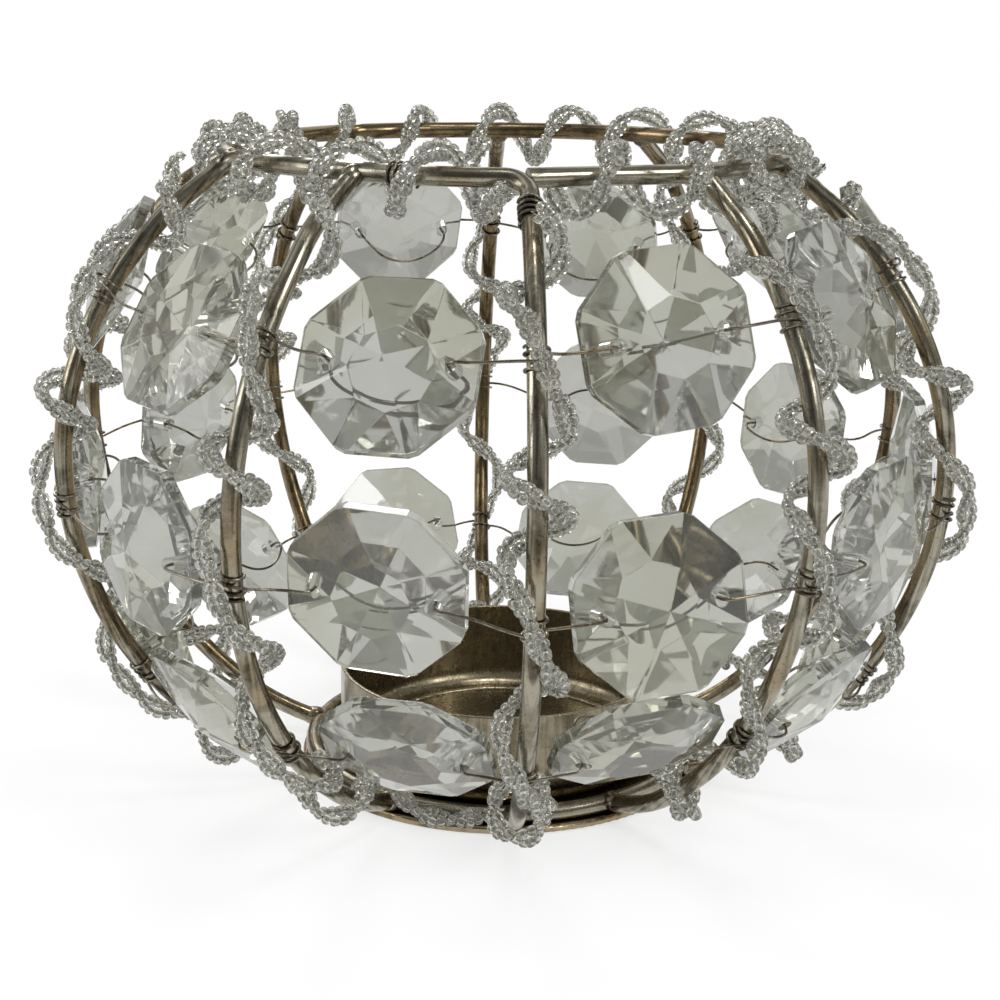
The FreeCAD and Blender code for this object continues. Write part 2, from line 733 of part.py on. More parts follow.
def make_nodes():
    """Every node of the holder, by name."""
    nodes = dict(make_frame())
    nodes["base_ring"] = make_base_ring()
    nodes["base_plate"] = make_base_plate()
    nodes["candle_cup"] = make_cup()
    stone = make_stone()
    for row in ROW_NAMES:
        wires = []
        for bay in range(RIBS):
            nodes[f"crystal_{row}_{bay + 1:02d}"] = make_crystal(row, bay, stone)
            wires.append(winding(bay_wire_stations(row, bay), WIRE_RADIUS, "bay wire"))
        nodes[f"wire_row_{row}"] = Part.makeCompound(wires)
    nodes["lashings"] = Part.makeCompound(make_lashings())
    garland = GARLAND_DIAMETER / 2
    for rib in range(RIBS):
        name = f"garland_rib_{rib + 1:02d}"
        nodes[name] = winding(rib_garland_stations(rib), garland, name)
    nodes["garland_mouth"] = winding(mouth_garland_stations(), garland, "garland_mouth")
    nodes["garland_base"] = winding(base_garland_stations(), garland, "garland_base")
    return nodes


def main():
    """Write one file per node."""
    os.makedirs("parts", exist_ok=True)
    for name, shape in make_nodes().items():
        tell(name, shape)
        shape.exportStep(f"parts/{name}.step")


if __name__ == "__main__":
    main()
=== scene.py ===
# %% [markdown]
# # A globe candle holder with crystals and bead garlands
#
# The holder is a cage of bent rods round a shallow candle cup. Faceted glass octagons
# hang between the rods on thin wires, and every rod is wound with a garland of clear
# seed beads. The engineering model brings the rods, the cup, the wires and the
# crystals with their true shapes, so this script gives those a finish, and builds what
# an engineering model leaves plain: thousands of beads, their threads and the welds.

# %% Load the fixed frame
import json
import math
import bpy
import numpy as np
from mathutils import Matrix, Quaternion, Vector


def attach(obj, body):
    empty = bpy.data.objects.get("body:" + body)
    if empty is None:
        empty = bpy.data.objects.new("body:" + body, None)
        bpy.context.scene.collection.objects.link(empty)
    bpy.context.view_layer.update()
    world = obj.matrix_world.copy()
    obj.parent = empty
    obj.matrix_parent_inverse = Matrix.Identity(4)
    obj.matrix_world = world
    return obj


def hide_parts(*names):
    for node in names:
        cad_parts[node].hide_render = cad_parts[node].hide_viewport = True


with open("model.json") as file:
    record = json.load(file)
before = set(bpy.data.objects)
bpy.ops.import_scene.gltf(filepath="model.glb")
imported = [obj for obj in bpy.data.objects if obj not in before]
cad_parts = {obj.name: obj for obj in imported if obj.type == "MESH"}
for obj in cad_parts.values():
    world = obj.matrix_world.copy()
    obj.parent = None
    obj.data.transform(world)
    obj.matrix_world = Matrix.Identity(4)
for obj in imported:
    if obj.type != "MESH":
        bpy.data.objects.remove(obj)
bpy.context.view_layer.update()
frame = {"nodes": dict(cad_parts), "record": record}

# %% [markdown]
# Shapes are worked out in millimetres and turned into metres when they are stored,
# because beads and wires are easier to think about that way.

MM = 0.001
RANDOM = np.random.default_rng(seed=7)
nodes = frame["nodes"]

# %% [markdown]
# A surface here is a grid of points. Carrying a small outline along a path gives one
# ring of points per station, and each pair of rings gives a belt of four-sided faces.
# The helper that stores a mesh takes whole arrays, and the closing faces at a tube's
# two ends as one longer face each. Another helper puts many small shapes into one
# mesh, by counting the faces of each on from the points of those before it.


# %% Meshes from arrays
def store_mesh(name, points, face_sets, smooth=True, shade=None):
    """A mesh object from points in mm and arrays of faces, each array one face size."""
    mesh = bpy.data.meshes.new(name)
    loops = np.concatenate([faces.ravel() for faces in face_sets])
    sizes = np.concatenate([np.full(len(faces), faces.shape[1]) for faces in face_sets])
    starts = np.concatenate([[0], np.cumsum(sizes)[:-1]])
    mesh.vertices.add(len(points))
    mesh.vertices.foreach_set("co", (points * MM).astype(np.float32).ravel())
    mesh.loops.add(len(loops))
    mesh.loops.foreach_set("vertex_index", loops.astype(np.int32))
    mesh.polygons.add(len(sizes))
    mesh.polygons.foreach_set("loop_start", starts.astype(np.int32))
    mesh.polygons.foreach_set("loop_total", sizes.astype(np.int32))
    mesh.polygons.foreach_set("use_smooth", np.full(len(sizes), smooth))
    if shade is not None:
        layer = mesh.attributes.new("shade", "FLOAT", "POINT")
        layer.data.foreach_set("value", shade.astype(np.float32))
    mesh.update()
    mesh.validate()
    piece = bpy.data.objects.new(name, mesh)
    bpy.context.scene.collection.objects.link(piece)
    return piece


def ring_belts(rings, sides):
    """Four-sided faces between rings of points: ring i, side j to ring i + 1."""
    i, j = np.meshgrid(np.arange(rings - 1), np.arange(sides), indexing="ij")
    a = i * sides + j
    b = i * sides + (j + 1) % sides
    return np.stack([a, b, b + sides, a + sides], -1).reshape(-1, 4)


def joined(parts):
    """Points and faces of many shapes in one, each shape given as points, belts, ends."""
    first = np.cumsum([0] + [len(part[0]) for part in parts])
    points = np.concatenate([part[0] for part in parts])
    belts = np.concatenate([part[1] + shift for part, shift in zip(parts, first)])
    ends = np.concatenate([part[2] + shift for part, shift in zip(parts, first)])
    return points, [belts, ends]


def unit(vectors):
    """Each vector divided by its own length."""
    return vectors / np.linalg.norm(vectors, axis=-1, keepdims=True)


print("helpers ready")

# %% [markdown]
# The garlands wind round the rods, so the script needs each rod's centreline. The rods
# are round bars of 2.6 mm bent to a globe of 68 mm radius, cut off flat at the mouth
# and at the base ring. Their angles round the globe aren't quite even, because the
# holder was bent and welded by hand, so they are listed one by one. Angles are in
# degrees, from the front towards the right.

# %% Sizes of the cage
GLOBE_RADIUS = 68.0
WIDEST_HEIGHT = 54.0
UPPER_REACH = 53.8
LOWER_REACH = 59.3
MOUTH_RADIUS = 42.2
BASE_RING_RADIUS = 30.2
RING_HEIGHT = 2.55
FOOT_SLOPE = 13.0
BAR_BOW_SHARE = 0.975
SHOULDER_SETBACK = 8.14
LOW_TURN_SHARE = 1.1494
HIGH_TURN_SHARE = 0.7816
RIB_FOOT_ANGLES = np.array([2.9, 32.5, 66.5, 108.0, 145.0, 184.5, 218.0, 259.3, 294.3, 328.3])
RIB_MOUTH_ANGLES = np.array([3.4, 37.4, 65.4, 108.0, 147.5, 182.0, 219.5, 259.3, 294.3, 331.2])
BUTTED_RIBS = (4, 5, 7, 9)
RIBS = len(RIB_FOOT_ANGLES)
MOUTH_RISE = UPPER_REACH * math.sqrt(1 - (MOUTH_RADIUS / GLOBE_RADIUS) ** 2)
MOUTH_HEIGHT = WIDEST_HEIGHT + MOUTH_RISE
SHOULDER_ANGLE = math.degrees(math.acos(MOUTH_RADIUS / GLOBE_RADIUS)) - SHOULDER_SETBACK
LOW_TURN = -LOW_TURN_SHARE * SHOULDER_ANGLE
HIGH_TURN = HIGH_TURN_SHARE * SHOULDER_ANGLE
print("mouth at", round(MOUTH_HEIGHT, 2), "mm, shoulder at", round(SHOULDER_ANGLE, 2), "degrees")

# %% [markdown]
# A rib starts on the base ring, swings out on a flat curve, follows an ellipse that is
# deeper below the widest height than above it, and runs straight to the mouth. A rib
# leans a little, so its angle round the globe changes steadily with its height. The
# curved joints could be arcs, but a cubic that leaves and lands along two given
# directions is shorter to write and differs from them by less than a bead's play.


# %% Centrelines of the ribs and the mouth ring
def around(radius, angle, height):
    """Points at a radius, an angle from the front in degrees and a height."""
    turn = np.radians(angle)
    return np.stack(np.broadcast_arrays(radius * np.sin(turn), -radius * np.cos(turn), height), -1)


def globe_points(rib, turn):
    """A rib on the globe: radius R cos t, height W + reach sin t, leaning with height."""
    swing = np.radians(turn)
    reach = np.where(turn > 0, UPPER_REACH, LOWER_REACH)
    height = WIDEST_HEIGHT + reach * np.sin(swing)
    share = (height - RING_HEIGHT) / (MOUTH_HEIGHT - RING_HEIGHT)
    angle = RIB_FOOT_ANGLES[rib] + (RIB_MOUTH_ANGLES[rib] - RIB_FOOT_ANGLES[rib]) * share
    return around(GLOBE_RADIUS * np.cos(swing), angle, height)


def eased(start, heading, end, landing, count=24):
    """A cubic from start to end that leaves and lands along the two directions."""
    t = np.linspace(0, 1, count)[:, None]
    pull = np.linalg.norm(end - start)
    return ((2 * t**3 - 3 * t**2 + 1) * start + (t**3 - 2 * t**2 + t) * pull * heading
            + (3 * t**2 - 2 * t**3) * end + (t**3 - t**2) * pull * landing)


def eased_run(points, headings):
    """One cubic after another through points, each passed along its heading."""
    spans = zip(points, headings, points[1:], headings[1:])
    return np.concatenate([eased(a, u, b, v) for a, u, b, v in spans])


def mouth_point(rib):
    """Where a rib meets the mouth ring."""
    share = BAR_BOW_SHARE if rib in BUTTED_RIBS else 1.0
    return around(MOUTH_RADIUS * share, RIB_MOUTH_ANGLES[rib], MOUTH_HEIGHT)


class Line:
    """A dense line of points that can be read by the length along it."""

    def __init__(self, points):
        keep = np.concatenate([[True], np.linalg.norm(np.diff(points, axis=0), axis=1) > 1e-6])
        self.points = points[keep]
        steps = np.linalg.norm(np.diff(self.points, axis=0), axis=1)
        self.marks = np.concatenate([[0], np.cumsum(steps)])
        self.length = self.marks[-1]

    def at(self, lengths):
        """Points at lengths from the start."""
        return np.stack([np.interp(lengths, self.marks, self.points[:, k]) for k in range(3)], -1)

    def heading(self, lengths, reach=0.4):
        """Directions at lengths, from the points a little behind and ahead."""
        return unit(self.at(np.minimum(lengths + reach, self.length)) - self.at(lengths - reach))


def rib_line(rib):
    """Foot to mouth: an eased foot, the globe's ellipse, an eased shoulder, a straight."""
    foot = around(BASE_RING_RADIUS, RIB_FOOT_ANGLES[rib], RING_HEIGHT)
    outward = unit(around(1, RIB_FOOT_ANGLES[rib], math.tan(math.radians(FOOT_SLOPE))))
    belly = globe_points(rib, np.linspace(LOW_TURN, HIGH_TURN, 160))
    shoulder = globe_points(rib, np.array([SHOULDER_ANGLE]))[0]
    top = mouth_point(rib)
    low = eased(foot, outward, belly[0], unit(belly[1] - belly[0]))
    high = eased(belly[-1], unit(belly[-1] - belly[-2]), shoulder, unit(top - shoulder))
    return Line(np.concatenate([low, belly, high, top[None]]))


def bar_points(ribs):
    """A bar through rib tops: straight between two, gently bowed through more.

    At a top between two others the bar runs along the line that joins those. At its
    two ends it leaves along that direction mirrored in the first or last stretch.
    """
    tops = np.array([mouth_point(rib) for rib in ribs])
    if len(tops) == 2:
        return np.linspace(tops[0], tops[1], 60)
    inner = unit(tops[2:] - tops[:-2])
    first, last = unit(tops[1] - tops[0]), unit(tops[-1] - tops[-2])
    leave = unit(2 * first * (first @ inner[0]) - inner[0])
    arrive = unit(2 * last * (last @ inner[-1]) - inner[-1])
    return eased_run(tops, [leave, *inner, arrive])


RIB_LINES = [rib_line(rib) for rib in range(RIBS)]
MOUTH_RUNS = ((0, 1), (1, 2), (2, 3), (3, 4, 5, 6), (6, 7, 8), (8, 9, 0))
MOUTH_LINE = Line(np.concatenate([bar_points(run) for run in MOUTH_RUNS]))
print("rib lengths", [round(line.length, 1) for line in RIB_LINES])
print("length round the mouth", round(MOUTH_LINE.length, 1))

# %% [markdown]
# A garland climbs its rib like a vine. Where a crystal's wire is tied round the rib,
# the garland has to pass on the outer or the inner side, so the winding is told its
# turn at a few lengths, and turns faster in between. The list of turns is the same as
# the engineering model's, so the beads lie where its plain tubes are. Turn 0 is the
# rod's outer side, and every garland begins on the inner side, near the foot.

# %% The route of each garland
GARLAND_RADIUS = 3.55
GARLAND_POINTS = 1200
GARLAND_FOOT_REACH = 12.5
GARLAND_MOUTH_GAP = 9.5
GARLAND_OUTSIDE = (True, True, True, True, False, True, True, True, True, True)
FIRST_TURN_OUTSIDE, FIRST_TURN_INSIDE = -540, -180
ROW_TURNS = (0, 1, 3)
ROW_HEIGHT_SHARES = (
    (0.215, 0.242, 0.239, 0.234, 0.229, 0.229, 0.234, 0.237, 0.234, 0.214),
    (0.463, 0.491, 0.512, 0.504, 0.494, 0.489, 0.494, 0.499, 0.506, 0.486),
    (0.795, 0.826, 0.850, 0.832, 0.811, 0.806, 0.811, 0.816, 0.814, 0.798),
)
PASS_ANGLES = np.array([-90.0, -27.0, 0.0, 27.0, 90.0])
PASS_LENGTHS = 4.4 * np.arange(-2, 3)
MOUTH_GARLAND_POINTS = 9000
MOUTH_GARLAND_ABOVE = 3.25
MOUTH_GARLAND_BELOW = 4.7
MOUTH_GARLAND_TURNS = (2, 2, 3, 2, 2, 2, 2, 2, 2, 2)
MOUTH_TOP_TURN = 90
MOUTH_END_TRIM = 90
BASE_GARLAND_RADIUS = 33.4
BASE_GARLAND_HEIGHT = 2.9
BASE_GARLAND_CLIMB = 4.1
BASE_SHARES_LEFT = np.array([0.16, 0.4, 0.68])
BASE_SHARES_RIGHT = np.array([0.0, 0.32, 0.6, 0.84])
BASE_LIFTS = np.array([0.35, 0.0, 0.05, 1.0, 0.05, 0.0, 0.3])


def rib_garland(rib):
    """Centre points and outward spokes of a garland wound up a rib.

    centre = rod + G (outward cos t - sideways sin t), where the turn t is read from
    the length along the rod: five turns told at each wire row, even winding between.
    """
    line = RIB_LINES[rib]
    outside = GARLAND_OUTSIDE[rib]
    start = 0 if outside else 180
    turns = [FIRST_TURN_OUTSIDE if outside else FIRST_TURN_INSIDE]
    lengths = [GARLAND_FOOT_REACH]
    for row_turns, shares in zip(ROW_TURNS, ROW_HEIGHT_SHARES):
        place = np.interp(shares[rib] * MOUTH_HEIGHT, line.points[:, 2], line.marks)
        turn = start + 360 * row_turns
        turns += list(turn + PASS_ANGLES)
        lengths += list(place + PASS_LENGTHS)
    turns.append(turn + 360)
    lengths.append(line.length - GARLAND_MOUTH_GAP)
    turn = np.linspace(turns[0], turns[-1], GARLAND_POINTS)
    length = np.interp(turn, turns, lengths)
    centre, along = line.at(length), line.heading(length)
    radial = unit(centre * (1, 1, 0))
    outward = unit(radial - along * (radial * along).sum(-1, keepdims=True))
    sideways = np.cross(along, outward)
    swing = np.radians(turn)[:, None]
    spoke = outward * np.cos(swing) - sideways * np.sin(swing)
    return centre + spoke * GARLAND_RADIUS, spoke


def mouth_garland():
    """Centre points and spokes of the garland round the mouth ring, looser below.

    It makes whole turns from rib to rib, over the ring at each. Its distance from the
    ring is the middle of the two given ones, plus half their difference times sin t.
    """
    tops = [0.0]
    for rib in range(1, RIBS):
        gaps = np.linalg.norm(MOUTH_LINE.points - mouth_point(rib), axis=1)
        tops.append(MOUTH_LINE.marks[gaps.argmin()])
    tops.append(MOUTH_LINE.length)
    turns = MOUTH_TOP_TURN + 360 * np.concatenate([[0], np.cumsum(MOUTH_GARLAND_TURNS)])
    turn = np.linspace(turns[0] + MOUTH_END_TRIM, turns[-1] - MOUTH_END_TRIM, MOUTH_GARLAND_POINTS)
    centre = MOUTH_LINE.at(np.interp(turn, turns, tops))
    swing = np.radians(turn)[:, None]
    spoke = unit(centre * (1, 1, 0)) * np.cos(swing) + np.array([0, 0, 1.0]) * np.sin(swing)
    middle = (MOUTH_GARLAND_ABOVE + MOUTH_GARLAND_BELOW) / 2
    return centre + spoke * (middle + (MOUTH_GARLAND_ABOVE - middle) * np.sin(swing)), spoke


def base_garland():
    """Centre points and spokes of the strand outside the base ring at the front left.

    It lies beside the ring and climbs over one rib's foot, on cubics through points at
    shares of the way from the rib before to that rib, and from it to the front rib.
    """
    left, middle, right = RIB_FOOT_ANGLES[8], RIB_FOOT_ANGLES[9], 360 + RIB_FOOT_ANGLES[0]
    angles = np.concatenate([left + (middle - left) * BASE_SHARES_LEFT,
                             middle + (right - middle) * BASE_SHARES_RIGHT])
    heights = BASE_GARLAND_HEIGHT + BASE_GARLAND_CLIMB * BASE_LIFTS
    points = around(BASE_GARLAND_RADIUS, angles, heights)
    centre = eased_run(points, unit(np.gradient(points, axis=0)))
    return centre, unit(centre * (1, 1, 0))


print("garland of rib 1 is", round(Line(rib_garland(0)[0]).length, 1), "mm long")

# %% [markdown]
# A garland is two strings of seed beads twisted round each other. Each string is a
# line that circles the garland's centre, half a turn behind the other. The beads sit
# at a fixed pitch along it, a bead being a short thick ring: a six-cornered outline
# turned round the string, so that its hole is really there and its shoulders are
# round. Every bead is a little different in size and tilt, as small glass beads are.

# %% Strings of seed beads
BEAD_RADIUS = 0.76
BEAD_HALF_LENGTH = 0.61
BEAD_PITCH = 1.3
BEAD_SIDES = 9
BEAD_OUTLINE = np.array([(0.4, -0.72), (0.72, -1.0), (1.0, -0.45),
                         (1.0, 0.45), (0.72, 1.0), (0.4, 0.72)])
BEAD_TILT_SPREAD = 0.09
BEAD_RADIUS_SPREAD = 0.04
BEAD_LENGTH_SPREAD = 0.05
STRING_OFFSET = 0.73
STRING_TWIST = 10.5
STRING_PHASES = (0.0, np.pi)
STRING_SHIFTS = (0.5, 1.0)
THREAD_RADIUS = 0.14
THREAD_ASKEW = np.array([0.21, 0.34, 0.92])


def string_line(centre, spoke, phase):
    """A line that circles the garland's centre once every STRING_TWIST mm."""
    steps = np.linalg.norm(np.diff(centre, axis=0), axis=1)
    length = np.concatenate([[0], np.cumsum(steps)])
    along = unit(np.gradient(centre, axis=0))
    side = unit(spoke - along * (spoke * along).sum(-1, keepdims=True))
    turn = (2 * np.pi * length / STRING_TWIST + phase)[:, None]
    circle = side * np.cos(turn) + np.cross(along, side) * np.sin(turn)
    return Line(centre + STRING_OFFSET * circle)


def bead_array(line, shift):
    """All beads of a string: outline carried round each bead's own tilted axis.

    point = centre + spoke(angle) * outline's radius + axis * outline's height.
    """
    marks = np.arange(shift * BEAD_PITCH, line.length - BEAD_PITCH / 2, BEAD_PITCH)
    count = len(marks)
    centre = line.at(marks)
    axis = unit(line.heading(marks) + RANDOM.normal(0, BEAD_TILT_SPREAD, (count, 3)))
    side = unit(np.cross(axis, unit(RANDOM.normal(0, 1, (count, 3)))))
    other = np.cross(axis, side)
    radius = BEAD_RADIUS * (1 + RANDOM.normal(0, BEAD_RADIUS_SPREAD, count))
    half = BEAD_HALF_LENGTH * (1 + RANDOM.normal(0, BEAD_LENGTH_SPREAD, count))
    angle = np.linspace(0, 2 * np.pi, BEAD_SIDES, endpoint=False)
    spokes = side[:, None] * np.cos(angle)[:, None] + other[:, None] * np.sin(angle)[:, None]
    flat = spokes[:, None] * (BEAD_OUTLINE[:, 0][:, None, None] * radius[:, None, None, None])
    tall = axis[:, None, None] * (BEAD_OUTLINE[:, 1][:, None, None] * half[:, None, None, None])
    points = centre[:, None, None] + flat + tall
    shade = np.repeat(RANDOM.random(count), len(BEAD_OUTLINE) * BEAD_SIDES)
    return points.reshape(-1, 3), shade, count


def bead_faces(count):
    """Belts between an outline's rings, closed from the last ring to the first."""
    rings = len(BEAD_OUTLINE)
    i, j = np.meshgrid(np.arange(rings), np.arange(BEAD_SIDES), indexing="ij")
    here, ahead = i * BEAD_SIDES, (i + 1) % rings * BEAD_SIDES
    beside = (j + 1) % BEAD_SIDES
    one = np.stack([here + j, here + beside, ahead + beside, ahead + j], -1).reshape(-1, 4)
    return (one[None] + (np.arange(count) * rings * BEAD_SIDES)[:, None, None]).reshape(-1, 4)


def thread_tube(line, step=0.5, sides=6):
    """Points and faces of a thread: a thin round tube along a line, closed at its ends."""
    marks = np.linspace(0, line.length, max(3, int(line.length / step)))
    centre, along = line.at(marks), line.heading(marks)
    side = unit(np.cross(along, THREAD_ASKEW))
    other = np.cross(along, side)
    angle = np.linspace(0, 2 * np.pi, sides, endpoint=False)[None, :, None]
    circle = side[:, None] * np.cos(angle) + other[:, None] * np.sin(angle)
    points = centre[:, None] + THREAD_RADIUS * circle
    ends = np.array([np.arange(sides)[::-1], (len(marks) - 1) * sides + np.arange(sides)])
    return points.reshape(-1, 3), ring_belts(len(marks), sides), ends


print("a bead is", len(BEAD_OUTLINE) * BEAD_SIDES, "faces")

# %% [markdown]
# One piece holds all the beads that stand for one plain tube of the engineering model.
# The threads through them are fine dark wire, and they all go into one piece of their
# own, because a thread has another finish than its beads.

# %% Build the garlands
ROUTES = {f"garland_rib_{rib + 1:02d}": rib_garland(rib) for rib in range(RIBS)}
ROUTES["garland_mouth"] = mouth_garland()
ROUTES["garland_base"] = base_garland()
bead_pieces, thread_parts, bead_total = [], [], 0
for node, (centre, spoke) in ROUTES.items():
    strings = [string_line(centre, spoke, phase) for phase in STRING_PHASES]
    made = [bead_array(line, shift) for line, shift in zip(strings, STRING_SHIFTS)]
    points = np.concatenate([part[0] for part in made])
    count = sum(part[2] for part in made)
    piece = store_mesh("beads_" + node.removeprefix("garland_"), points, [bead_faces(count)],
                       shade=np.concatenate([part[1] for part in made]))
    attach(piece, "frame")
    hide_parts(node)
    bead_pieces.append(piece)
    bead_total += count
    thread_parts += [thread_tube(line) for line in strings]
threads = store_mesh("bead_threads", *joined(thread_parts))
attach(threads, "frame")
print(bead_total, "beads in", len(bead_pieces), "pieces")

# %% [markdown]
# Where rods meet, a drop of weld metal has run into the corner and set. On this cage
# it shows as small uneven lumps under the mouth ring and on the base ring. A lump is a
# ball whose radius changes with a few waves of direction, pulled out along the rod.
# The rib in front is bent over into its bar and has no weld at the top.

# %% Weld drops at the rod ends
WELD_ROWS, WELD_SIDES = 10, 14
WELD_CAP = 0.12
WELD_STRETCH = 1.25
WELD_WAVES, WELD_WAVE_HEIGHT, WELD_WAVE_SPREAD = 4, 0.05, 3.2
WELD_ASKEW = np.array([0.3, 0.2, 0.93])
FOOT_WELD_PLACE, FOOT_WELD_RADIUS, FOOT_WELD_SEED = 1.1, 1.62, 10
TOP_WELD_PLACE, TOP_WELD_RADIUS, TOP_WELD_SEED = 1.2, 1.58, 30


def weld_drop(line, place, radius, seed):
    """A ball r(1 + sum of small sine waves of direction), stretched along the rod."""
    centre, along = line.at(np.array([place]))[0], line.heading(np.array([place]))[0]
    wave = np.random.default_rng(seed)
    polar = np.linspace(WELD_CAP, np.pi - WELD_CAP, WELD_ROWS)[:, None]
    angle = np.linspace(0, 2 * np.pi, WELD_SIDES, endpoint=False)[None]
    ball = np.stack(np.broadcast_arrays(np.sin(polar) * np.cos(angle),
                                        np.sin(polar) * np.sin(angle), np.cos(polar)), -1)
    bumps = sum(WELD_WAVE_HEIGHT * np.sin(ball @ wave.normal(0, WELD_WAVE_SPREAD, 3)
                                          + wave.random() * 6) for _ in range(WELD_WAVES))
    side = unit(np.cross(along, WELD_ASKEW))
    turned = (ball[..., :1] * side + ball[..., 1:2] * np.cross(along, side)
              + ball[..., 2:] * along * WELD_STRETCH)
    points = centre + turned * (radius * (1 + bumps))[..., None]
    cap = np.arange(WELD_SIDES)
    ends = np.array([cap, (WELD_ROWS - 1) * WELD_SIDES + cap[::-1]])
    return points.reshape(-1, 3), ring_belts(WELD_ROWS, WELD_SIDES)[:, ::-1], ends


drops = [weld_drop(line, FOOT_WELD_PLACE, FOOT_WELD_RADIUS, FOOT_WELD_SEED + rib)
         for rib, line in enumerate(RIB_LINES)]
drops += [weld_drop(line, line.length - TOP_WELD_PLACE, TOP_WELD_RADIUS, TOP_WELD_SEED + rib)
          for rib, line in enumerate(RIB_LINES) if rib > 0]
welds = store_mesh("weld_drops", *joined(drops))
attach(welds, "frame")
print(len(drops), "weld drops")

# %% [markdown]
# The finishes are built from nodes, with no picture in them. A few short helpers keep
# that readable: one makes a node with its settings, the others make the steps that come
# back in every finish, which are soft noise, a smooth threshold, a mix of two colours
# and a sum. Each helper returns an output that the next one can be given.


# %% Node helpers
def grey(level):
    """A neutral colour of one level."""
    return (level, level, level, 1)


def add_node(tree, kind, **settings):
    """A node with its settings, and with values for inputs given as in_NAME or in_0."""
    node = tree.nodes.new(kind)
    for key, value in settings.items():
        if key.startswith("in_"):
            name = key[3:].replace("_", " ")
            node.inputs[int(name) if name.isdigit() else name].default_value = value
        else:
            setattr(node, key, value)
    return node


def feed(tree, socket, value):
    """Gives a socket a plain value, or links it to an output."""
    if isinstance(value, bpy.types.NodeSocket):
        tree.links.new(value, socket)
    else:
        socket.default_value = value


def noise(tree, vector, scale, detail):
    """Soft random spots of a size set by scale, in spots per metre."""
    node = add_node(tree, "ShaderNodeTexNoise", in_Detail=detail, in_Roughness=0.55)
    feed(tree, node.inputs["Vector"], vector)
    feed(tree, node.inputs["Scale"], scale)
    return node.outputs["Fac"]


def ramp(tree, value, low, high, to_low=0.0, to_high=1.0):
    """A smooth step of a value from low to high."""
    node = add_node(tree, "ShaderNodeMapRange", interpolation_type="SMOOTHSTEP",
                    in_1=low, in_2=high, in_3=to_low, in_4=to_high)
    feed(tree, node.inputs[0], value)
    return node.outputs[0]


def mix_color(tree, share, first, second, blend="MIX"):
    """Two colours mixed by a share; each may be a colour or an output."""
    node = add_node(tree, "ShaderNodeMix", data_type="RGBA", blend_type=blend)
    for socket, value in ((0, share), (6, first), (7, second)):
        feed(tree, node.inputs[socket], value)
    return node.outputs[2]


def calc(tree, operation, first, second):
    """One sum of two numbers, each a number or an output."""
    node = add_node(tree, "ShaderNodeMath", operation=operation)
    for socket, value in ((0, first), (1, second)):
        feed(tree, node.inputs[socket], value)
    return node.outputs[0]


print("node helpers ready")

# %% [markdown]
# The metal is old: a pale champagne skin has gone brown in patches and in thin lines
# along the drawn rod, and where hands or neighbours rub it a warmer gold shows. The
# side that looks into the globe is mixed towards that gold. One node group makes all
# that for rods, cup, plate and wire. It gives a colour, a roughness and a height, so
# that every metal ages by the same rule and only its own values differ.
# SPOTS are numbers per metre, and an EDGE is where a soft threshold starts and ends.

# %% The aged metal group
INNER_EDGE, INNER_SHARE = (0.25, -0.55), 0.85
PATCH_EDGE, PATCH_DETAIL, PATCH_ROUGHNESS = (0.44, 0.64), 4.0, 0.62
STREAK_SPOTS, STREAK_EDGE = 1300.0, (0.42, 0.62)
SPECK_SPOTS, SPECK_EDGE, SPECK_SHARE = 2600.0, (0.58, 0.7), 0.25
RUB_SPOTS, RUB_EDGE, RUB_SHARE = 75.0, (0.52, 0.66), 0.55
BARE_ROUGHNESS, BROWN_ROUGHNESS, SPECK_ROUGHNESS = 0.15, 0.18, 0.1
HEIGHT_SPOTS, BROWN_HEIGHT = 900.0, 0.5


def inward_side(tree, place):
    """1 where the surface looks at the globe's axis: -0.55 or less of normal . away."""
    flat = add_node(tree, "ShaderNodeVectorMath", operation="MULTIPLY", in_1=(1.0, 1.0, 0.0))
    away = add_node(tree, "ShaderNodeVectorMath", operation="NORMALIZE")
    facing = add_node(tree, "ShaderNodeVectorMath", operation="DOT_PRODUCT")
    tree.links.new(place.outputs["Object"], flat.inputs[0])
    tree.links.new(flat.outputs[0], away.inputs[0])
    tree.links.new(away.outputs[0], facing.inputs[0])
    tree.links.new(place.outputs["Normal"], facing.inputs[1])
    return ramp(tree, facing.outputs["Value"], *INNER_EDGE)


